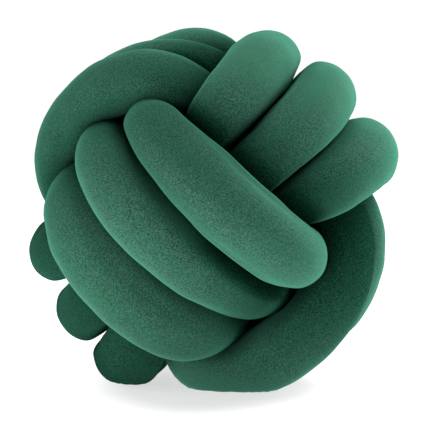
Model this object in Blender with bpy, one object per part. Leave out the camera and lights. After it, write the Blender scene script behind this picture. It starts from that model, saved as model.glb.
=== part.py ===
"""A knot cushion: one long stuffed tube of velvet, wound and tucked into a ball.

The tube runs round the ball in three groups of three turns. Each group passes over the
next one on two opposite faces of the ball, and under the last one on the two faces beside
them. Where it lies hidden, the tube shifts from one turn to the next and crosses from one
group to the next, and its ends are joined there, so it is one closed ring of stuffing.
Wherever two lengths of the tube press on each other they flatten, and so does the
underside, on which the ball rests.

Metres, +Z up, with the origin on the surface that the ball rests on, under its middle.
"""
import math

import bpy
import numpy as np
from mathutils import Euler

# Sizes of a turn, each given at three places: on the faces of the ball, where the turn lies
# outside, halfway to where it dives, and where it lies hidden. A reach is the distance from
# the ball's middle to the tube's centre line.
MIDDLE_REACH = (0.1140, 0.0935, 0.0765)
SIDE_REACH = (0.1045, 0.0890, 0.0500)
SIDE_OFFSET = (0.0435, 0.0365, 0.0200)
BALL_STRETCH = (1.00, 1.08, 1.16)

# How each turn strays from that, in millimetres. A turn's near stretch is the first one that
# shows, and its far stretch is the one on the opposite face. Both are lifted outwards and
# moved to the side; "slide" moves them along the turn, "lean" slants them, and "girth" is
# added to the tube's radius. The rows are the turns, by group and slot.
STRAY_COLUMNS = ("near_lift", "far_lift", "near_side", "far_side", "slide", "lean", "girth")
STRAYS = {
    (0, 1): (13, 2, 10, -3, 5, 6, -1),
    (0, 0): (1, 0, 9, 0, -7, 3, 3),
    (0, -1): (3, 2, -2, 2, 3, 2, 1),
    (1, 1): (12, -2, -6, 1, -2, -15, 1),
    (1, 0): (6, -10, -5, 2, 3, -8, -2),
    (1, -1): (-1, -7, 5, 0, 2, 1, -2),
    (2, 1): (-7, 15, 8, -1, -2, -4, 3),
    (2, 0): (-6, 3, 3, 4, 4, 7, 1),
    (2, -1): (-7, -7, 2, -4, 7, -1, 0),
}
MILLIMETRE = 0.001

GROUPS = 3
TURNS_PER_GROUP = 3
FIRST_HIDDEN_ANGLE = math.radians(270.0)
# Parts of a turn over which the tube shifts to the next turn or crosses to the next group,
# and how far that crossing sinks towards the ball's middle, as a part of its distance.
SHIFT_LENGTH = 0.133
CROSSING_HALF_LENGTH = 0.15
CROSSING_SINK = 0.44

TUBE_RADIUS = 0.0264
# The tube is fuller on the side that faces the ball's middle. The change is given by the
# cosine of a direction with the outward one: where it starts, and over how much it runs.
INWARD_FULLNESS = 0.0092
FULL_FROM = 0.3
FULL_OVER = 0.9
# Over how much of its reach the tube rounds off into a pressed face, and the space that two
# pressed faces keep between them.
ROUNDING = 0.0090
GAP = 0.0040
# Deep inside, and near the outside of the ball: the distance from its middle, and the half
# width that a length of the tube holds against a neighbour with none.
DEEP = (0.051, 0.0204)
SHALLOW = (0.102, 0.0255)
THINNEST = 0.001
REST_DEPTH = 0.0075
RESTING_TURN = (-48.9, 13.2, -109.5)

ROUTE_STEPS = 3600
SECTIONS = 480
TUBE_SIDES = 12
BATCH = 512
NEARLY_BESIDE = 1e-6
FAR = 1.0

VELVET_GREEN = (0.032, 0.171, 0.098, 1.0)
VELVET_ROUGHNESS = 0.9


def ease(fraction):
    """A smooth step from 0 to 1, for numbers or arrays."""
    fraction = np.clip(fraction, 0.0, 1.0)
    return fraction * fraction * (3.0 - 2.0 * fraction)


def swell(sizes, angle):
    """A size that changes round a turn: outside at 0, halfway at 45 and hidden at 90 degrees."""
    outside, halfway, hidden = sizes
    mean = (outside + hidden + 2.0 * halfway) / 4.0
    oval = (outside - hidden) / 2.0
    square = (outside + hidden - 2.0 * halfway) / 4.0
    return mean + oval * np.cos(2.0 * angle) + square * np.cos(4.0 * angle)


def strays(group, slot):
    """How the tube strays at each point, in metres: one row for each of STRAY_COLUMNS."""
    table = np.array([[STRAYS[g, s] for s in (-1, 0, 1)] for g in range(GROUPS)]) * MILLIMETRE
    before, after = np.clip(-slot, 0.0, 1.0), np.clip(slot, 0.0, 1.0)
    shares = np.stack([before, 1.0 - before - after, after], axis=-1)
    return np.einsum("ns,nsc->cn", shares, table[group % GROUPS])


def winding(group, angle, slot):
    """Centre line points and added girths of a group's winding, in the ball's own axes.

    The angle goes round the turn and is 0 in the middle of its near stretch. The slot is the
    place of the turn in its group: 1, 0 or -1, or between them where the tube shifts.
    """
    stray = dict(zip(STRAY_COLUMNS, strays(group, slot)))
    cosine, sine = np.cos(angle), np.sin(angle)
    near, far = np.clip(cosine, 0.0, 1.0) ** 2, np.clip(-cosine, 0.0, 1.0) ** 2
    slant = 2.0 * sine * cosine
    arc = slot * math.pi / 2.0
    side_reach = swell(SIDE_REACH, angle)
    reach = (side_reach + (swell(MIDDLE_REACH, angle) - side_reach) * np.cos(arc)
             + stray["near_lift"] * near + stray["far_lift"] * far
             + stray["slide"] * slant * cosine)
    offset = (swell(SIDE_OFFSET, angle) * np.sin(arc)
              + stray["near_side"] * near + stray["far_side"] * far
              + stray["lean"] * slant)
    own = np.stack([reach * cosine, reach * sine, offset], axis=-1)
    # Each group's axes are the last one's, one place on, so the groups lock into each other.
    columns = (np.arange(3) - group[:, None]) % 3
    return np.take_along_axis(own, columns, axis=-1) * BALL_STRETCH, stray["girth"]


def tube_route():
    """The closed centre line at even steps of turning, and the tube's girth along it."""
    turns = np.arange(ROUTE_STEPS) * GROUPS * TURNS_PER_GROUP / ROUTE_STEPS
    group = (turns // TURNS_PER_GROUP).astype(int)
    turn = turns - TURNS_PER_GROUP * group
    angle = FIRST_HIDDEN_ANGLE + 2.0 * math.pi * turn
    slot = 1.0 - sum(ease((turn - n) / SHIFT_LENGTH + 0.5) for n in (1, 2))
    points, girth = winding(group, angle, slot)
    last, last_girth = winding(group - 1, angle, np.full_like(slot, -1.0))
    coming, coming_girth = winding(group + 1, angle, np.full_like(slot, 1.0))
    leave = 1.0 - ease(0.5 + 0.5 * turn / CROSSING_HALF_LENGTH)
    arrive = ease(0.5 + 0.5 * (turn - TURNS_PER_GROUP) / CROSSING_HALF_LENGTH)
    stay = 1.0 - leave - arrive
    girth = girth * stay + last_girth * leave + coming_girth * arrive
    leave, arrive, stay = leave[:, None], arrive[:, None], stay[:, None]
    points = points * stay + last * leave + coming * arrive
    sink = 4.0 * CROSSING_SINK * (leave * (1.0 - leave) + arrive * (1.0 - arrive))
    return points * (1.0 - sink), girth


def even_steps(points, girth, count):
    """The same closed line, with its points at even distances along it."""
    closed = np.vstack([points, points[:1]])
    along = np.concatenate([[0.0], np.cumsum(np.linalg.norm(np.diff(closed, axis=0), axis=1))])
    at = np.arange(count) * along[-1] / count
    line = np.stack([np.interp(at, along, closed[:, axis]) for axis in range(3)], axis=-1)
    return line, np.interp(at, along, np.append(girth, girth[0]))


def as_it_lies(points):
    """The ball's points turned to the side on which the ball lies."""
    turn = Euler([math.radians(degrees) for degrees in RESTING_TURN]).to_matrix()
    return points @ np.array(turn).T


def plain_tube(centres):
    """The tube before it is pressed: a round tube along its closed centre line."""
    curve = bpy.data.curves.new("tube_route", "CURVE")
    curve.dimensions = "3D"
    curve.bevel_depth = TUBE_RADIUS
    curve.bevel_resolution = (TUBE_SIDES - 4) // 2
    spline = curve.splines.new("POLY")
    spline.points.add(len(centres) - 1)
    spline.use_cyclic_u = True
    for point, centre in zip(spline.points, centres):
        point.co = (*centre, 1.0)
    guide = bpy.data.objects.new("tube_route", curve)
    bpy.context.scene.collection.objects.link(guide)
    evaluated = guide.evaluated_get(bpy.context.evaluated_depsgraph_get())
    mesh = bpy.data.meshes.new_from_object(evaluated)
    bpy.data.objects.remove(guide)
    bpy.data.curves.remove(curve)
    return mesh


def firmness(centres):
    """How much of the space between two lengths of tube each point's own length holds."""
    depth = np.linalg.norm(centres, axis=-1)
    share = ease((depth - DEEP[0]) / (SHALLOW[0] - DEEP[0]))
    return DEEP[1] + (SHALLOW[1] - DEEP[1]) * share


def pressed_reach(centres, girth, section, directions):
    """How far the tube bulges from its centre line in each direction.

    It bulges to its own radius, or to the surface halfway to the nearest other length of
    tube, whichever is nearer, with a rounded change from one to the other.
    """
    own = centres[section]
    softness = firmness(centres)
    free = np.full(len(section), FAR)
    for start in range(0, len(section), BATCH):
        part = slice(start, start + BATCH)
        apart = centres[None] - own[part, None]
        towards = np.einsum("nmc,nc->nm", apart, directions[part])
        squares = (apart ** 2).sum(-1) + softness[section[part], None] ** 2 - softness ** 2
        ahead = towards > NEARLY_BESIDE
        halfway = np.where(ahead, squares / (2.0 * np.where(ahead, towards, 1.0)), FAR)
        free[part] = halfway.min(axis=1)
    free = np.maximum(free, THINNEST)
    outward = own / np.linalg.norm(own, axis=1)[:, None]
    inward_share = ease((FULL_FROM - (directions * outward).sum(-1)) / FULL_OVER)
    radius = TUBE_RADIUS + girth[section] + INWARD_FULLNESS * inward_share
    blend = np.clip(0.5 + 0.5 * (free - radius) / ROUNDING, 0.0, 1.0)
    reach = free * (1.0 - blend) + radius * blend - ROUNDING * blend * (1.0 - blend)
    return reach - GAP / 2.0


def press(mesh, centres, girth):
    """Moves the tube's points to where its own turns and the surface below press them."""
    section = np.arange(len(mesh.vertices)) // TUBE_SIDES
    points = np.empty(len(mesh.vertices) * 3)
    mesh.vertices.foreach_get("co", points)
    directions = points.reshape(-1, 3) - centres[section]
    directions /= np.linalg.norm(directions, axis=1)[:, None]
    reach = pressed_reach(centres, girth, section, directions)
    points = centres[section] + reach[:, None] * directions
    surface = points[:, 2].min() + REST_DEPTH
    below = points[:, 2] < surface
    to_surface = (surface - centres[section][below, 2]) / directions[below, 2]
    points[below] = centres[section][below] + to_surface[:, None] * directions[below]
    points[below, 2] = surface
    middle = (points.min(axis=0) + points.max(axis=0)) / 2.0
    points -= (middle[0], middle[1], surface)
    mesh.vertices.foreach_set("co", points.ravel())
    mesh.update()


def velvet():
    """The tube's cover, a dark green velvet."""
    material = bpy.data.materials.new("green_velvet")
    material.use_nodes = True
    shader = material.node_tree.nodes["Principled BSDF"]
    shader.inputs["Base Color"].default_value = VELVET_GREEN
    shader.inputs["Roughness"].default_value = VELVET_ROUGHNESS
    shader.inputs["Metallic"].default_value = 0.0
    return material


def knotted_tube(collection):
    """The whole cushion: the closed tube, wound, pressed and set down."""
    points, girth = tube_route()
    centres, girth = even_steps(as_it_lies(points), girth, SECTIONS)
    mesh = plain_tube(centres)
    press(mesh, centres, girth)
    mesh.shade_smooth()
    mesh.materials.clear()
    mesh.materials.append(velvet())
    tube = bpy.data.objects.new("knotted_tube", mesh)
    collection.objects.link(tube)
    return tube


def main():
    for old in list(bpy.data.objects):
        bpy.data.objects.remove(old, do_unlink=True)
    collection = bpy.data.collections.new("knot_cushion")
    bpy.context.scene.collection.children.link(collection)
    knotted_tube(collection)


main()
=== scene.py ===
"""Looks, light and camera of a knot cushion.

The cushion is one long stuffed tube of green velvet, wound and tucked into a ball: three
groups of three turns, each group over the next one on two faces of the ball and under the
last one on two others. The winding and the way the tube presses on itself follow the same
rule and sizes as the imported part, on a finer mesh. Metres, +Z up.
"""
from __future__ import annotations

import logging
import math
from dataclasses import dataclass, field
from enum import Enum
from typing import Any, Optional, Union

import bpy
import numpy as np
from mathutils import Euler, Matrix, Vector

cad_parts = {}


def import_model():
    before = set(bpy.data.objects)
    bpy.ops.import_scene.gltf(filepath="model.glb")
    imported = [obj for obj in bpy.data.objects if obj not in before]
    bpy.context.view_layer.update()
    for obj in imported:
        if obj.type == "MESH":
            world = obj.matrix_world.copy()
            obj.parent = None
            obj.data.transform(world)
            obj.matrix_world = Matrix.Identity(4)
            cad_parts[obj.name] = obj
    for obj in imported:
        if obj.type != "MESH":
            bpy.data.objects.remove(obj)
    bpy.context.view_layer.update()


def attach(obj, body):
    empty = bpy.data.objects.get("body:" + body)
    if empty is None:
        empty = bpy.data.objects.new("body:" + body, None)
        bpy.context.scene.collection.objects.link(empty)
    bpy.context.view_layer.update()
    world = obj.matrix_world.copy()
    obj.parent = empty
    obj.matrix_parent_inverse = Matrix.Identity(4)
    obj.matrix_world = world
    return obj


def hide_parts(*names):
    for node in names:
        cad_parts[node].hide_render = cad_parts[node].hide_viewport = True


LOG = logging.getLogger("knot_cushion")
NODE = "knotted_tube"
SLOT = "green_velvet"
SHADE = "shade"
SHEEN_WHERE_LIT = "sheen_where_lit"
MILLIMETRE = 0.001
PERCENT = 0.01


def ease(fraction: np.ndarray) -> np.ndarray:
    """Gives a smooth step from 0 to 1."""
    fraction = np.clip(fraction, 0.0, 1.0)
    return fraction * fraction * (3.0 - 2.0 * fraction)


def lengths(vectors: np.ndarray) -> np.ndarray:
    """Gives the length of each vector in a list of them."""
    return np.linalg.norm(vectors, axis=-1)


class Group(Enum):
    """The three groups of turns, named by the face on which they show best."""

    FRONT = 0
    RING = 1
    RIGHT = 2


@dataclass(frozen=True)
class Swell:
    """A size that changes round a turn: outside, halfway to the dive, and hidden."""

    outside: float
    halfway: float
    hidden: float

    def at(self, angle: np.ndarray) -> np.ndarray:
        """Works out the size round the turn.

        Args:
            angle: Angles round the turn, 0 in the middle of its near stretch.

        Returns:
            The size at each angle.
        """
        mean = (self.outside + self.hidden + 2.0 * self.halfway) / 4.0
        oval = (self.outside - self.hidden) / 2.0
        square = (self.outside + self.hidden - 2.0 * self.halfway) / 4.0
        return mean + oval * np.cos(2.0 * angle) + square * np.cos(4.0 * angle)


@dataclass(frozen=True)
class Stray:
    """How one turn strays from the even winding, and the light and shade painted on its pile.

    A turn shows on two opposite faces of the ball, the near one and the far one. Its strays
    are in millimetres and its painted light and shade in percent, lighter above 0 and darker
    below.
    """

    near_lift: float
    far_lift: float
    near_side: float
    far_side: float
    slide: float
    lean: float
    girth: float
    near_painted_light: float = 0.0
    far_painted_light: float = 0.0
    painted_light_lean: float = 0.0

    def row(self) -> list[float]:
        """Lists the fields for a table of all the turns.

        Returns:
            The seven strays in metres, then the three values of painted light and shade as
            shares.
        """
        ways = (self.near_lift, self.far_lift, self.near_side, self.far_side,
                self.slide, self.lean, self.girth)
        painted_lights = (self.near_painted_light, self.far_painted_light, self.painted_light_lean)
        return [way * MILLIMETRE for way in ways] + [painted_light * PERCENT for painted_light in painted_lights]


def hand_wound() -> dict[Group, tuple[Stray, Stray, Stray]]:
    """Tells how the turns stray when they are wound by hand.

    Returns:
        The strays of each group's turns, with the light and shade painted on them,
        from slot -1 to slot 1.
    """
    # Lifts near and far, sides near and far, slide, lean and girth, then the painted light
    # and shade: near, far and its lean.
    return {
        Group.FRONT: (Stray(3, 2, -2, 2, 3, 2, 1, 16, 0),
                      Stray(1, 0, 9, 0, -7, 3, 3, 2, 0, 15),
                      Stray(13, 2, 10, -3, 5, 6, -1, -4, 0, 45)),
        Group.RING: (Stray(-1, -7, 5, 0, 2, 1, -2, 20, 180),
                     Stray(6, -10, -5, 2, 3, -8, -2, 60, 130),
                     Stray(12, -2, -6, 1, -2, -15, 1, -20, -24, -110)),
        Group.RIGHT: (Stray(-7, -7, 2, -4, 7, -1, 0, 125, -90),
                      Stray(-6, 3, 3, 4, 4, 7, 1, 118, -95),
                      Stray(-7, 15, 8, -1, -2, -4, 3, 50, -115, -45)),
    }


@dataclass(frozen=True)
class Winding:
    """The route of the tube: its closed centre line and how its girth changes along it."""

    middle_reach: Swell = Swell(0.1140, 0.0935, 0.0765)
    side_reach: Swell = Swell(0.1045, 0.0890, 0.0500)
    side_offset: Swell = Swell(0.0435, 0.0365, 0.0200)
    stretch: tuple[float, float, float] = (1.00, 1.08, 1.16)
    turns_per_group: int = 3
    first_angle: float = math.radians(270.0)
    shift_length: float = 0.133
    crossing_half_length: float = 0.15
    crossing_sink: float = 0.44
    resting_turn: tuple[float, float, float] = (-48.9, 13.2, -109.5)
    steps: int = 3600
    strays: dict[Group, tuple[Stray, Stray, Stray]] = field(default_factory=hand_wound)

    def stray_at(self, group: np.ndarray, slot: np.ndarray) -> np.ndarray:
        """Blends the strays of neighbouring turns.

        Args:
            group: The number of each point's group.
            slot: Each point's place in its group, from -1 to 1.

        Returns:
            One row for each kind of stray, in metres, then one for each value of painted light
            and shade, as a share.
        """
        table = np.array([[stray.row() for stray in self.strays[part]] for part in Group])
        before, after = np.clip(-slot, 0.0, 1.0), np.clip(slot, 0.0, 1.0)
        shares = np.stack([before, 1.0 - before - after, after], axis=-1)
        return np.einsum("ns,nsc->cn", shares, table[group % len(Group)])

    def turn_points(
        self, group: np.ndarray, angle: np.ndarray, slot: np.ndarray
    ) -> tuple[np.ndarray, np.ndarray]:
        """Places points of the turns in the ball's own axes.

        Args:
            group: The number of each point's group.
            angle: The angle round the turn.
            slot: The place of the turn in its group, from -1 to 1.

        Returns:
            The centre line's points, and the girth added and the painted light and shade there.
        """
        (near_lift, far_lift, near_side, far_side, slide, lean, girth,
         near_painted_light, far_painted_light, painted_light_lean) = self.stray_at(group, slot)
        cosine, sine = np.cos(angle), np.sin(angle)
        near, far = np.clip(cosine, 0.0, 1.0) ** 2, np.clip(-cosine, 0.0, 1.0) ** 2
        slant = 2.0 * sine * cosine
        arc = slot * math.pi / 2.0
        side = self.side_reach.at(angle)
        reach = (side + (self.middle_reach.at(angle) - side) * np.cos(arc)
                 + near_lift * near + far_lift * far + slide * slant * cosine)
        offset = (self.side_offset.at(angle) * np.sin(arc)
                  + near_side * near + far_side * far + lean * slant)
        own = np.stack([reach * cosine, reach * sine, offset], axis=-1)
        # Each group is wound like the last one, with the three axes moved on by one.
        columns = (np.arange(3) - group[:, None]) % 3
        points = np.take_along_axis(own, columns, axis=-1) * self.stretch
        # Painted light and shade: lighter or darker near and far, and leaning along the near
        # stretch.
        painted_light = near_painted_light * near + far_painted_light * far + painted_light_lean * slant * np.maximum(cosine, 0.0)
        return points, np.stack([girth, painted_light], axis=-1)

    def route(self) -> tuple[np.ndarray, np.ndarray]:
        """Winds all the groups into one closed line.

        Returns:
            The points, in the ball's own axes, and the girth and the painted light and shade at
            each.
        """
        turns = np.arange(self.steps) * len(Group) * self.turns_per_group / self.steps
        group = (turns // self.turns_per_group).astype(int)
        turn = turns - self.turns_per_group * group
        angle = self.first_angle + 2.0 * math.pi * turn
        shifts = range(1, self.turns_per_group)
        slot = 1.0 - sum(ease((turn - n) / self.shift_length + 0.5) for n in shifts)
        points, extras = self.turn_points(group, angle, slot)
        full = np.ones_like(slot)
        last, last_extras = self.turn_points(group - 1, angle, -full)
        coming, coming_extras = self.turn_points(group + 1, angle, full)
        half = self.crossing_half_length
        leave = 1.0 - ease(0.5 + 0.5 * turn / half)
        arrive = ease(0.5 + 0.5 * (turn - self.turns_per_group) / half)
        stay = 1.0 - leave - arrive
        leave, arrive, stay = leave[:, None], arrive[:, None], stay[:, None]
        extras = extras * stay + last_extras * leave + coming_extras * arrive
        points = points * stay + last * leave + coming * arrive
        sink = 4.0 * self.crossing_sink * (leave * (1.0 - leave) + arrive * (1.0 - arrive))
        return points * (1.0 - sink), extras

    def resting_axes(self) -> np.ndarray:
        """Gives the ball's own axes as it lies, as the columns of a matrix."""
        return np.array(Euler([math.radians(turn) for turn in self.resting_turn]).to_matrix())

    def height(self, points: np.ndarray) -> np.ndarray:
        """Measures points from the ball's middle as if the ball were evenly round.

        Args:
            points: Points of the ball as it lies, about its middle.

        Returns:
            The height of each point over the ball's middle.
        """
        return lengths(points @ self.resting_axes() / np.array(self.stretch))

    def centre_line(self, count: int) -> tuple[np.ndarray, np.ndarray, np.ndarray, float]:
        """Spaces points evenly along the tube as the ball lies.

        Args:
            count: How many points to place.

        Returns:
            The points about the ball's middle, the girths added and the painted light and shade
            there, and the tube's length.
        """
        points, extras = self.route()
        points = points @ self.resting_axes().T
        closed = np.vstack([points, points[:1]])
        along = np.concatenate([[0.0], np.cumsum(lengths(np.diff(closed, axis=0)))])
        at = np.arange(count) * along[-1] / count
        line = np.stack([np.interp(at, along, closed[:, axis]) for axis in range(3)], axis=-1)
        girth, painted_light = (np.interp(at, along, np.append(row, row[0])) for row in extras.T)
        return line, girth, painted_light, float(along[-1])


@dataclass(frozen=True)
class Stuffing:
    """How the stuffed tube swells, presses on itself and flattens underneath, in metres."""

    radius: float = 0.0264
    inward_fullness: float = 0.0092
    full_from: float = 0.3
    full_over: float = 0.9
    rounding: float = 0.0090
    gap: float = 0.0012
    deep_at: float = 0.051
    deep_firmness: float = 0.0204
    shallow_at: float = 0.102
    shallow_firmness: float = 0.0255
    thinnest: float = 0.001
    rest_depth: float = 0.0075
    evening_passes: int = 24
    evening_allowance: float = 0.0006
    nearly_beside: float = 1e-6
    far: float = 1.0
    batch: int = 1024

    def firmness(self, centres: np.ndarray) -> np.ndarray:
        """Works out how much space each length of tube holds against its neighbours."""
        share = ease((lengths(centres) - self.deep_at) / (self.shallow_at - self.deep_at))
        return self.deep_firmness + (self.shallow_firmness - self.deep_firmness) * share

    def free_reach(
        self, centres: np.ndarray, section: np.ndarray, directions: np.ndarray
    ) -> tuple[np.ndarray, np.ndarray]:
        """Finds how far each point may go before it meets another length of the tube.

        Args:
            centres: The centre line's points.
            section: The number of the centre line point that each point belongs to.
            directions: The direction in which each point goes out.

        Returns:
            The distance to the face that the two lengths share, and the number of the centre
            line point on its other side.
        """
        softness = self.firmness(centres) ** 2
        norms = (centres ** 2).sum(axis=-1)
        products = centres @ centres.T
        squares = norms[None] - 2.0 * products + norms[:, None]
        squares += softness[:, None] - softness[None]
        free = np.full(len(section), self.far)
        beside = np.zeros(len(section), dtype=int)
        for start in range(0, len(section), self.batch):
            part = slice(start, start + self.batch)
            own = centres[section[part]]
            towards = directions[part] @ centres.T
            towards -= (directions[part] * own).sum(axis=-1)[:, None]
            ahead = towards > self.nearly_beside
            halfway = squares[section[part]] / (2.0 * np.where(ahead, towards, 1.0))
            halfway = np.where(ahead, halfway, self.far)
            beside[part] = halfway.argmin(axis=1)
            free[part] = np.take_along_axis(halfway, beside[part][:, None], axis=1)[:, 0]
        return np.maximum(free, self.thinnest), beside

    def reach(
        self,
        centres: np.ndarray,
        girth: np.ndarray,
        section: np.ndarray,
        directions: np.ndarray,
        free: np.ndarray,
    ) -> np.ndarray:
        """Works out how far the tube bulges from its centre line.

        Args:
            centres: The centre line's points.
            girth: The girth added at each point of the centre line.
            section: The number of the centre line point that each point belongs to.
            directions: The direction in which each point goes out.
            free: How far each point may go.

        Returns:
            The distance of each point from the centre line.
        """
        outward = (centres / lengths(centres)[:, None])[section]
        facing = (directions * outward).sum(axis=-1)
        inward_share = ease((self.full_from - facing) / self.full_over)
        radius = self.radius + girth[section] + self.inward_fullness * inward_share
        blend = np.clip(0.5 + 0.5 * (free - radius) / self.rounding, 0.0, 1.0)
        rounded = self.rounding * blend * (1.0 - blend)
        return free * (1.0 - blend) + radius * blend - rounded - self.gap / 2.0

    def evened(self, reach: np.ndarray) -> np.ndarray:
        """Evens the tube out along its length, as a stretched cover does.

        Args:
            reach: How far the tube reaches, one row for each ring of points.

        Returns:
            The same, with its bumps taken down to their surroundings.
        """
        even = reach
        for _ in range(self.evening_passes):
            even = (np.roll(even, 1, axis=0) + 2.0 * even + np.roll(even, -1, axis=0)) / 4.0
        return np.minimum(even, reach + self.evening_allowance)


@dataclass(frozen=True)
class PaintedShading:
    """Painted shade on the pile: lighter where the tube stands proud, darker where it is tucked,
    on its flanks and under a higher length of tube beside it, where shade falls.

    Heights and widths are in metres, the others are shares.
    """

    buried_at: float = 0.092
    proud_at: float = 0.118
    flank_at: float = -0.005
    crown_at: float = 0.025
    crown_share: float = 0.3
    shelter_width: float = 0.023
    level_below: float = 0.006
    well_below: float = 0.022
    shelter_depth: float = 0.84
    middling: float = 0.61
    matt_below: float = 0.10
    sheen_above: float = 0.56
    painted_dark_depth: float = 0.40
    painted_dark_matt: float = 1.10

    def at(
        self,
        run: np.ndarray,
        rise: np.ndarray,
        overlap: np.ndarray,
        spare: np.ndarray,
        painted_light: np.ndarray,
    ) -> tuple[np.ndarray, np.ndarray]:
        """Works out the painted shade of points of the cover, and how much of their sheen shows.

        Args:
            run: The height at which the tube runs there.
            rise: How much higher the point is than that.
            overlap: How much higher the length of tube beside it runs.
            spare: How much further the tube could swell there before it meets that length.
            painted_light: The light and shade painted on the turn.

        Returns:
            The painted shade and the share of sheen of each point, from 0 to 1.
        """
        # Painted shade: darker where the tube runs deep in the ball, and on its flanks.
        lit_where_proud = ease((run - self.buried_at) / (self.proud_at - self.buried_at))
        crown = ease((rise - self.flank_at) / (self.crown_at - self.flank_at))
        lift = (1.0 - self.crown_share) * lit_where_proud + self.crown_share * crown
        # Painted shadow where a higher length of tube beside it overhangs.
        below = ease((overlap - self.level_below) / (self.well_below - self.level_below))
        shelter = below * ease(1.0 - spare / self.shelter_width)
        open_share = lift * (1.0 - self.shelter_depth * shelter)
        # The turn's painted light and shade: lighter above 0, darker below.
        painted_dark_and_brushed = np.minimum(painted_light, 0.0)
        painted_lighter = np.maximum(painted_light, 0.0)
        shade = self.middling * open_share * (1.0 + painted_lighter + self.painted_dark_depth * painted_dark_and_brushed)
        # The sheen is taken out where the painted shade is dark.
        sheen_where_lit = ease((open_share - self.matt_below) / (self.sheen_above - self.matt_below))
        sheen_where_lit *= np.clip(1.0 + self.painted_dark_matt * painted_dark_and_brushed, 0.0, 1.0)
        return np.clip(shade, 0.0, 1.0), sheen_where_lit


@dataclass(frozen=True)
class SoftLumps:
    """The slight unevenness of hand-stuffed filling: a few smooth waves in all directions."""

    height: float
    size: float
    waves: int
    seed: int
    size_spread: tuple[float, float] = (0.7, 1.6)

    def at(self, points: np.ndarray) -> np.ndarray:
        """Works out how far the cover stands out at each point.

        Args:
            points: Points of the cover, in metres.

        Returns:
            The height of the lumps there, in metres.
        """
        draw = np.random.default_rng(self.seed)
        ways = draw.normal(size=(self.waves, 3))
        ways /= lengths(ways)[:, None]
        pace = 2.0 * math.pi / (self.size * draw.uniform(*self.size_spread, self.waves))
        phase = draw.uniform(0.0, 2.0 * math.pi, self.waves)
        waves = np.sin(points @ (ways * pace[:, None]).T + phase)
        return self.height * waves.sum(axis=-1) / math.sqrt(self.waves)


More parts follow.
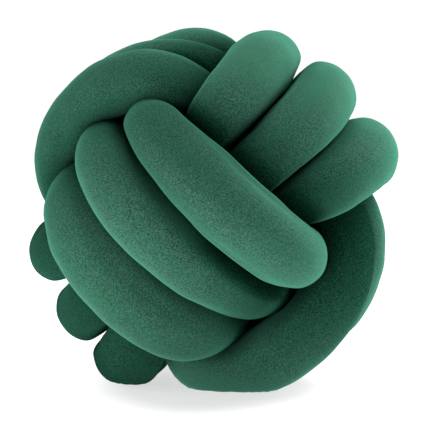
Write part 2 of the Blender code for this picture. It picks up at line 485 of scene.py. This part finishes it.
@dataclass
class KnottedTube:
    """The cushion itself: one stuffed tube of velvet, wound, pressed and set down.

    Its middle is known once it is built.
    """

    winding: Winding = Winding()
    stuffing: Stuffing = Stuffing()
    lumps: tuple[SoftLumps, ...] = (
        SoftLumps(height=0.0005, size=0.060, waves=14, seed=3),
        SoftLumps(height=0.00025, size=0.022, waves=18, seed=4),
    )
    sections: int = 1500
    sides: int = 60
    painted_shading: PaintedShading = PaintedShading()
    middle: Vector = field(default_factory=Vector)

    def plain_tube(self, centres: np.ndarray) -> bpy.types.Mesh:
        """Sweeps a round tube along the closed centre line.

        Args:
            centres: The centre line's points.

        Returns:
            A mesh of rings of points, one ring for each point of the centre line.
        """
        curve = bpy.data.curves.new("tube_route", "CURVE")
        curve.dimensions = "3D"
        curve.bevel_depth = self.stuffing.radius
        # A round bevel has four sides, and two more for each step of its resolution.
        curve.bevel_resolution = (self.sides - 4) // 2
        spline = curve.splines.new("POLY")
        spline.points.add(len(centres) - 1)
        spline.use_cyclic_u = True
        for point, centre in zip(spline.points, centres):
            point.co = (*centre, 1.0)
        guide = bpy.data.objects.new("tube_route", curve)
        bpy.context.scene.collection.objects.link(guide)
        evaluated = guide.evaluated_get(bpy.context.evaluated_depsgraph_get())
        mesh = bpy.data.meshes.new_from_object(evaluated)
        bpy.data.objects.remove(guide)
        bpy.data.curves.remove(curve)
        return mesh

    def pressed(
        self, mesh: bpy.types.Mesh, centres: np.ndarray, girth: np.ndarray, painted_light: np.ndarray
    ) -> tuple[np.ndarray, np.ndarray, np.ndarray]:
        """Moves the round tube's points to where the turns press them.

        Args:
            mesh: The round tube.
            centres: The centre line's points.
            girth: The girth added at each of them.
            painted_light: The light and shade painted at each of them.

        Returns:
            The points of the pressed tube, about the ball's middle, and the painted shade
            and the share of sheen of each.
        """
        section = np.arange(len(mesh.vertices)) // self.sides
        points = np.empty(len(mesh.vertices) * 3)
        mesh.vertices.foreach_get("co", points)
        directions = points.reshape(-1, 3) - centres[section]
        directions /= lengths(directions)[:, None]
        free, beside = self.stuffing.free_reach(centres, section, directions)
        reach = self.stuffing.reach(centres, girth, section, directions, free)
        reach = self.stuffing.evened(reach.reshape(-1, self.sides)).ravel()
        points = centres[section] + reach[:, None] * directions
        run = self.winding.height(centres)
        # Painted shade, and the share of sheen that it lets show.
        shade, sheen_where_lit = self.painted_shading.at(
            run[section], self.winding.height(points) - run[section],
            run[beside] - run[section], free - reach, painted_light[section])
        lumps = sum(lump.at(points) for lump in self.lumps)
        points = points + lumps[:, None] * directions
        return self.set_down(points, centres[section], directions), shade, sheen_where_lit

    def set_down(
        self, points: np.ndarray, own: np.ndarray, directions: np.ndarray
    ) -> np.ndarray:
        """Flattens the underside on the surface that carries the cushion.

        Args:
            points: The points of the pressed tube, about the ball's middle.
            own: The point of the centre line that each of them belongs to.
            directions: The direction in which each goes out.

        Returns:
            The points, none of them below the surface.
        """
        surface = points[:, 2].min() + self.stuffing.rest_depth
        below = points[:, 2] < surface
        to_surface = (surface - own[below, 2]) / directions[below, 2]
        points[below] = own[below] + to_surface[:, None] * directions[below]
        points[below, 2] = surface
        return points

    @staticmethod
    def unrolled(numbers: np.ndarray, count: int) -> np.ndarray:
        """Counts on past the end of a ring, where a face closes it, instead of back from 0.

        Args:
            numbers: The places of each face's corners in their ring, one row for each face.
            count: How many places the ring has.

        Returns:
            The places, each face's close together.
        """
        closing = (numbers.max(axis=1) - numbers.min(axis=1))[:, None] > 1
        return np.where(closing & (numbers == 0), count, numbers)

    def lay_map(self, mesh: bpy.types.Mesh, length: float) -> None:
        """Lays the cover's map, in metres: round the tube, then along it.

        Args:
            mesh: The pressed tube.
            length: The length of the tube.
        """
        corners = np.empty(len(mesh.loops), dtype=int)
        mesh.loops.foreach_get("vertex_index", corners)
        section, side = np.divmod(corners.reshape(len(mesh.polygons), -1), self.sides)
        section = self.unrolled(section, self.sections)
        side = self.unrolled(side, self.sides)
        around = side * 2.0 * math.pi * self.stuffing.radius / self.sides
        along = section * length / self.sections
        layer = mesh.uv_layers.new(name="cover")
        layer.uv.foreach_set("vector", np.stack([around, along], axis=-1).ravel())

    def build(self) -> bpy.types.Object:
        """Makes the whole cushion.

        Returns:
            The cushion, standing on the floor over the frame's origin.
        """
        centres, girth, painted_light, length = self.winding.centre_line(self.sections)
        mesh = self.plain_tube(centres)
        points, shade, sheen_where_lit = self.pressed(mesh, centres, girth, painted_light)
        # The painted shade and the share of sheen ride on the points for the velvet.
        for name, values in ((SHADE, shade), (SHEEN_WHERE_LIT, sheen_where_lit)):
            layer = mesh.attributes.new(name, "FLOAT", "POINT")
            layer.data.foreach_set("value", values.astype(np.float32))
        low, high = points.min(axis=0), points.max(axis=0)
        ground = np.array([(low[0] + high[0]) / 2.0, (low[1] + high[1]) / 2.0, low[2]])
        points -= ground
        self.middle = Vector(-ground)
        mesh.vertices.foreach_set("co", points.ravel())
        mesh.update()
        self.lay_map(mesh, length)
        mesh.shade_smooth()
        mesh.materials.clear()
        tube = bpy.data.objects.new("velvet_tube", mesh)
        bpy.context.scene.collection.objects.link(tube)
        LOG.info("velvet tube: %.2f m long, %d points", length, len(points))
        return tube

    def dress(self, tube: bpy.types.Object, cover: bpy.types.Material) -> None:
        """Gives the tube its cover and ties it to the frame.

        Args:
            tube: The cushion.
            cover: The velvet.
        """
        tube.data.materials.append(cover)
        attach(tube, "root")
        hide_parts(NODE)
        LOG.info("velvet tube dressed with %s", cover.name)


# What a node's input may be fed: a wire, a number, or a colour or place.
Feed = Union["Wire", float, tuple]
Colour = tuple[float, float, float, float]
WHITE: Colour = (1.0, 1.0, 1.0, 1.0)


class Wire:
    """One output of a shader node, which can be added to, multiplied and so on."""

    def __init__(self, bench: Bench, socket: bpy.types.NodeSocket) -> None:
        """Keeps the output and the bench that its nodes are on."""
        self.bench = bench
        self.socket = socket

    def worked(self, operation: str, first: Feed, second: Feed) -> Wire:
        """Adds one Math node and gives its result."""
        terms = {0: first, 1: second}
        return self.bench.wire("ShaderNodeMath", {"operation": operation}, terms)

    def __add__(self, other: Feed) -> Wire:
        """Adds the other to this."""
        return self.worked("ADD", self, other)

    def __radd__(self, other: Feed) -> Wire:
        """Adds this to the other."""
        return self.worked("ADD", other, self)

    def __sub__(self, other: Feed) -> Wire:
        """Takes the other from this."""
        return self.worked("SUBTRACT", self, other)

    def __rsub__(self, other: Feed) -> Wire:
        """Takes this from the other."""
        return self.worked("SUBTRACT", other, self)

    def __mul__(self, other: Feed) -> Wire:
        """Multiplies this by the other."""
        return self.worked("MULTIPLY", self, other)

    def __rmul__(self, other: Feed) -> Wire:
        """Multiplies the other by this."""
        return self.worked("MULTIPLY", other, self)


@dataclass(frozen=True)
class Speckle:
    """A random pattern, and the part of its range that goes from all dark to all light.

    The scale is in features for each unit of what it is read at.
    """

    scale: float
    detail: float
    roughness: float
    dark_at: float
    light_at: float


class Bench:
    """The nodes of a material or a world, made through one method for every kind."""

    # A Mix node's sockets for colours, whose names it uses for other data too.
    mix_share, mix_first, mix_second, mix_result = 0, 6, 7, 2

    def __init__(self, owner: Union[bpy.types.Material, bpy.types.World]) -> None:
        """Clears the owner's nodes.

        Args:
            owner: The material or the world that the nodes are for.
        """
        owner.use_nodes = True
        self.owner = owner
        self.tree = owner.node_tree
        self.tree.nodes.clear()

    def node(
        self,
        kind: str,
        settings: Optional[dict[str, Any]] = None,
        inputs: Optional[dict[Union[int, str], Feed]] = None,
    ) -> bpy.types.Node:
        """Adds a node.

        Args:
            kind: The node's type name.
            settings: Its settings, by name.
            inputs: What its inputs are fed or set to, by name or number.

        Returns:
            The node.
        """
        node = self.tree.nodes.new(kind)
        for name, value in (settings or {}).items():
            setattr(node, name, value)
        for name, value in (inputs or {}).items():
            if isinstance(value, Wire):
                self.tree.links.new(value.socket, node.inputs[name])
            else:
                node.inputs[name].default_value = value
        return node

    def wire(
        self,
        kind: str,
        settings: Optional[dict[str, Any]] = None,
        inputs: Optional[dict[Union[int, str], Feed]] = None,
        output: Union[int, str] = 0,
    ) -> Wire:
        """Adds a node and gives one of its outputs."""
        return Wire(self, self.node(kind, settings, inputs).outputs[output])

    def coordinates(self, kind: str) -> Wire:
        """Gives the Object or UV coordinates."""
        return self.wire("ShaderNodeTexCoord", output=kind)

    def stretched(self, vector: Wire, scale: tuple[float, float, float]) -> Wire:
        """Multiplies a vector by a scale for each axis."""
        terms = {0: vector, 1: scale}
        return self.wire("ShaderNodeVectorMath", {"operation": "MULTIPLY"}, terms)

    def noise(self, vector: Wire, speckle: Speckle) -> Wire:
        """Adds a noise.

        Args:
            vector: The place that it is read at.
            speckle: What it is like.

        Returns:
            The noise, from 0 to 1.
        """
        inputs = {"Vector": vector, "Scale": speckle.scale, "Detail": speckle.detail,
                  "Roughness": speckle.roughness}
        return self.wire("ShaderNodeTexNoise", {"noise_dimensions": "3D"}, inputs)

    def spread(self, value: Wire, low: float, high: float) -> Wire:
        """Spreads the part of a value from low to high over 0 to 1."""
        inputs = {"Value": value, "From Min": low, "From Max": high}
        return self.wire("ShaderNodeMapRange", {"interpolation_type": "SMOOTHSTEP"}, inputs)

    def attribute(self, name: str) -> Wire:
        """Gives a number that the mesh carries."""
        settings = {"attribute_type": "GEOMETRY", "attribute_name": name}
        return self.wire("ShaderNodeAttribute", settings, output="Fac")

    def mixed(self, share: Feed, first: Feed, second: Feed, blend: str = "MIX") -> Wire:
        """Mixes two colours by a share from 0 to 1.

        Args:
            share: The share of the second colour.
            first: The first colour.
            second: The second colour.
            blend: The Mix node's way of blending.

        Returns:
            The mixed colour.
        """
        settings = {"data_type": "RGBA", "blend_type": blend}
        inputs = {self.mix_share: share, self.mix_first: first, self.mix_second: second}
        return self.wire("ShaderNodeMix", settings, inputs, self.mix_result)

    def tinted(self, colour: Feed, tint: Feed, share: Feed = 1.0) -> Wire:
        """Multiplies a colour by a tint, by a share from 0 to 1."""
        return self.mixed(share, colour, tint, "MULTIPLY")

    def dull(self, inputs: dict[str, Feed]) -> Wire:
        """Adds a surface with the given inputs, which mirrors nothing."""
        return self.wire("ShaderNodeBsdfPrincipled", None, {"Specular IOR Level": 0.0, **inputs})

    def overlaid(self, share: Feed, first: Wire, second: Wire) -> Wire:
        """Mixes two surfaces by the share of the second one, from 0 to 1."""
        return self.wire("ShaderNodeMixShader", None, {0: share, 1: first, 2: second})

    def finish(self, shader: Wire) -> Union[bpy.types.Material, bpy.types.World]:
        """Feeds the shader to the owner's output.

        Args:
            shader: The surface of the material or the light of the world.

        Returns:
            The material or the world.
        """
        kind = "World" if isinstance(self.owner, bpy.types.World) else "Material"
        self.node(f"ShaderNodeOutput{kind}", inputs={"Surface": shader})
        return self.owner


@dataclass(frozen=True)
class Velvet:
    """Short-pile velvet: fine grain where the pile is ruffled, smooth where it is brushed.

    Its colour goes from a painted shade colour to a painted lit colour with the shade. Ruffled
    and brushed tint it in patches, the ruffled tint more where the painted shade is light, and
    the fibres' tints give it its grain, smoother where the painted shade is lightest. The rim
    highlight is painted: a lighter matt colour mixed in at the edges, where the sheen shows.
    """

    shaded_where_tucked: Colour = (0.0014, 0.0140, 0.0066, 1.0)
    lit_where_proud: Colour = (0.0300, 0.1310, 0.0760, 1.0)
    painted_dark_and_brushed: Colour = (0.80, 1.00, 0.99, 1.0)
    painted_light_and_ruffled: Colour = (1.34, 1.00, 1.09, 1.0)
    fibre_light: Colour = (1.88, 1.56, 1.70, 1.0)
    fibre_dark: Colour = (0.36, 0.44, 0.44, 1.0)
    sheen_tint: Colour = (0.32, 1.0, 0.74, 1.0)
    sheen: float = 0.22
    sheen_roughness: float = 0.65
    roughness: float = 0.95
    rim_highlight: Colour = (0.085, 0.360, 0.230, 1.0)
    rim_highlight_from: float = 0.50
    rim_highlight_share: float = 0.40
    rim_highlight_roughness: float = 1.0
    grain: Speckle = Speckle(
        scale=950.0, detail=3.0, roughness=0.75, dark_at=0.42, light_at=0.59)
    patches: Speckle = Speckle(
        scale=1.0, detail=2.0, roughness=0.5, dark_at=0.32, light_at=0.66)
    patch_stretch: tuple[float, float, float] = (12.0, 7.0, 1.0)
    nap_height: float = 0.0008
    nap_strength: float = 0.5
    always_grained: float = 0.65
    smoothed_from: float = 0.66
    smoothing: float = 0.65
    ruffled_from: float = 0.25
    ruffled_by: float = 0.60
    always_ruffled: float = 0.45

    def make(self) -> bpy.types.Material:
        """Makes the material.

        Returns:
            The velvet, with its grain in metres.
        """
        bench = Bench(bpy.data.materials.new(SLOT))
        shade, sheen_where_lit = bench.attribute(SHADE), bench.attribute(SHEEN_WHERE_LIT)
        cover = bench.stretched(bench.coordinates("UV"), self.patch_stretch)
        ruffle = bench.noise(cover, self.patches)
        ruffle = bench.spread(ruffle, self.patches.dark_at, self.patches.light_at)
        grain = bench.noise(bench.coordinates("Object"), self.grain)
        colour = self.coloured(bench, shade, ruffle, grain)
        bump = bench.wire("ShaderNodeBump", inputs={
            "Height": grain, "Strength": self.nap_strength, "Distance": self.nap_height})
        pile = {"Base Color": colour, "Normal": bump, "Roughness": self.roughness}
        sheen = {"Sheen Weight": self.sheen, "Sheen Roughness": self.sheen_roughness,
                 "Sheen Tint": self.sheen_tint}
        # The sheen is mixed in only where the painted shade is light; in painted shade the pile
        # is matt and darker.
        painted_dark_and_brushed = bench.overlaid(sheen_where_lit, bench.dull(pile), bench.dull({**pile, **sheen}))
        # Painted rim highlight: a lighter matt colour mixed in towards the edges where the sheen
        # shows.
        edge = bench.wire("ShaderNodeLayerWeight", output="Facing")
        rim_highlight = bench.spread(edge, self.rim_highlight_from, 1.0) * sheen_where_lit * self.rim_highlight_share
        highlight_surface = bench.dull({"Base Color": self.rim_highlight, "Roughness": self.rim_highlight_roughness})
        return bench.finish(bench.overlaid(rim_highlight, painted_dark_and_brushed, highlight_surface))

    def coloured(self, bench: Bench, shade: Wire, ruffle: Wire, grain: Wire) -> Wire:
        """Colours the pile: its painted light and shade, its ruffled and brushed patches, and
        its fibres.

        Args:
            bench: The bench that the velvet's nodes are on.
            shade: The painted shade, from 0 dark to 1 lit.
            ruffle: How ruffled it is, from 0 to 1.
            grain: The noise of its fibres.

        Returns:
            The colour of each point.
        """
        # Partly painted light: the ruffled tint shows in patches, and only where the painted
        # shade is light.
        lifted = self.always_ruffled + (1.0 - self.always_ruffled) * ruffle
        lifted = lifted * bench.spread(shade, self.ruffled_from, self.ruffled_by)
        # The painted shade mixes the shaded colour into the lit one; the tints go over it.
        colour = bench.tinted(
            bench.mixed(shade, self.shaded_where_tucked, self.lit_where_proud),
            bench.mixed(lifted, self.painted_dark_and_brushed, self.painted_light_and_ruffled))
        grained = self.always_grained + (1.0 - self.always_grained) * ruffle
        grained = grained * (1.0 - self.smoothing * bench.spread(shade, self.smoothed_from, 1.0))
        fibres = bench.spread(grain, self.grain.dark_at, self.grain.light_at)
        dark = bench.tinted(colour, self.fibre_dark, grained)
        light = bench.tinted(colour, self.fibre_light, grained)
        return bench.mixed(fibres, dark, light)


@dataclass(frozen=True)
class PalePaint:
    """The plain floor: pale and evenly white with a glow of its own, which fades under the
    cushion into a painted shadow.
    """

    colour: Colour = (0.36, 0.36, 0.36, 1.0)
    roughness: float = 1.0
    painted_shadow_glow: float = 0.64
    open_glow: float = 1.02
    narrowness: tuple[float, float, float] = (1.5, 1.0, 0.0)
    under: float = 0.09
    beyond: float = 0.166

    def make(self) -> bpy.types.Material:
        """Makes the material.

        Returns:
            The paint.
        """
        bench = Bench(bpy.data.materials.new("pale_floor"))
        place = bench.stretched(bench.coordinates("Object"), self.narrowness)
        away = bench.wire("ShaderNodeVectorMath", {"operation": "LENGTH"}, {0: place}, "Value")
        # Painted shadow on the floor: the glow is lowest within the under distance and full
        # beyond.
        open_share = bench.spread(away, self.under, self.beyond)
        glow = self.painted_shadow_glow + open_share * (self.open_glow - self.painted_shadow_glow)
        # The glow is a colour, because a shader's strength has to be one number all over.
        return bench.finish(bench.dull({
            "Base Color": self.colour,
            "Roughness": self.roughness,
            "Emission Color": glow,
            "Emission Strength": 1.0,
        }))


class Hanging(Enum):
    """How a lamp is set up."""

    FACING = "facing the cushion"
    LYING = "lying on the floor, facing up"


@dataclass(frozen=True)
class SoftBox:
    """A large round soft lamp, placed by its bearing from the front and its rise, in degrees."""

    name: str
    bearing: float
    rise: float
    power: float
    distance: float = 2.2
    size: float = 1.1
    hanging: Hanging = Hanging.FACING
    floor_gap: float = 0.01

    def build(self, target: Vector) -> None:
        """Hangs the lamp, or lays it on the floor.

        Args:
            target: The point that it faces.
        """
        bearing, rise = math.radians(self.bearing), math.radians(self.rise)
        away = Vector((math.sin(bearing) * math.cos(rise),
                       -math.cos(bearing) * math.cos(rise), math.sin(rise)))
        light = bpy.data.lights.new(self.name, "AREA")
        light.shape = "DISK"
        light.size = self.size
        light.energy = self.power
        lamp = bpy.data.objects.new(self.name, light)
        lamp.location = target + away * self.distance
        lamp.rotation_euler = away.to_track_quat("Z", "Y").to_euler()
        if self.hanging is Hanging.LYING:
            # A lamp shines down, so half a turn makes it shine up.
            lamp.location.z = self.floor_gap
            lamp.rotation_euler = (math.pi, 0.0, 0.0)
            lamp.visible_camera = False
        bpy.context.scene.collection.objects.link(lamp)
        LOG.info("lamp %s, %s: %.1f W", self.name, self.hanging.value, self.power)


@dataclass(frozen=True)
class Studio:
    """The floor, the white surroundings and the lamps."""

    floor_size: float = 30.0
    surround: float = 0.04
    backdrop: float = 1.02
    lamps: tuple[SoftBox, ...] = (
        SoftBox("left_front", 302.0, 12.0, 14.3),
        SoftBox("left_high", 275.0, 35.0, 10.0),
        SoftBox("right", 80.0, 18.0, 14.5),
        SoftBox("right_back", 120.0, 17.0, 33.4),
        SoftBox("right_high", 95.0, 58.0, 23.5),
        SoftBox("top", 180.0, 85.0, 22.0),
        SoftBox("floor_lamp", 330.0, 0.0, 0.80, 0.36, 0.3, Hanging.LYING),
    )

    def surroundings(self) -> bpy.types.World:
        """Makes the world: white to look at, dim as a light.

        Returns:
            The world.
        """
        bench = Bench(bpy.data.worlds.new("white_surroundings"))
        looked_at = bench.wire("ShaderNodeLightPath", output="Is Camera Ray")
        strength = self.surround + looked_at * (self.backdrop - self.surround)
        inputs = {"Color": WHITE, "Strength": strength}
        return bench.finish(bench.wire("ShaderNodeBackground", inputs=inputs))

    def build(self, target: Vector) -> None:
        """Sets up the studio round the cushion.

        Args:
            target: The point that the lamps face.
        """
        bpy.ops.mesh.primitive_plane_add(size=self.floor_size, location=(0.0, 0.0, 0.0))
        floor = bpy.context.object
        floor.name = "floor"
        floor.data.materials.append(PalePaint().make())
        for lamp in self.lamps:
            lamp.build(target)
        bpy.context.scene.world = self.surroundings()
        bpy.context.scene.view_settings.view_transform = "Standard"
        LOG.info("studio: floor %.0f m across", self.floor_size)


@dataclass(frozen=True)
class Viewpoint:
    """The camera: a long lens a little above the ball's middle, square to its front.

    The focal length, the frame and the place of the ball's middle in it are in pixels, the
    sensor's width in millimetres.
    """

    distance: float = 1.4056
    elevation: float = 4.0
    focal_pixels: float = 1774.47
    frame_pixels: float = 430.0
    middle_at: tuple[float, float] = (208.37, 198.13)
    sensor_width: float = 36.0
    nearest: float = 0.01
    farthest: float = 100.0

    def build(self, middle: Vector) -> None:
        """Sets the camera.

        Args:
            middle: The middle of the ball.
        """
        camera = bpy.data.cameras.new("camera")
        camera.sensor_width = self.sensor_width
        camera.lens = self.focal_pixels / self.frame_pixels * camera.sensor_width
        camera.shift_x = (self.frame_pixels / 2.0 - self.middle_at[0]) / self.frame_pixels
        camera.shift_y = (self.middle_at[1] - self.frame_pixels / 2.0) / self.frame_pixels
        camera.clip_start, camera.clip_end = self.nearest, self.farthest
        camera.dof.use_dof = False
        rise = math.radians(self.elevation)
        away = Vector((0.0, -math.cos(rise), math.sin(rise)))
        eye = bpy.data.objects.new("camera", camera)
        eye.location = middle + away * self.distance
        eye.rotation_euler = (-away).to_track_quat("-Z", "Y").to_euler()
        bpy.context.scene.collection.objects.link(eye)
        bpy.context.scene.camera = eye
        LOG.info("camera: %.1f mm lens, %.2f m away", camera.lens, self.distance)


def main() -> None:
    """Builds the cushion, the studio and the camera in order."""
    logging.basicConfig(level=logging.INFO, format="%(name)s: %(message)s")
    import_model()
    cushion = KnottedTube()
    tube = cushion.build()
    cushion.dress(tube, Velvet().make())
    Studio().build(cushion.middle)
    Viewpoint().build(cushion.middle)


if __name__ == "__main__":
    main()
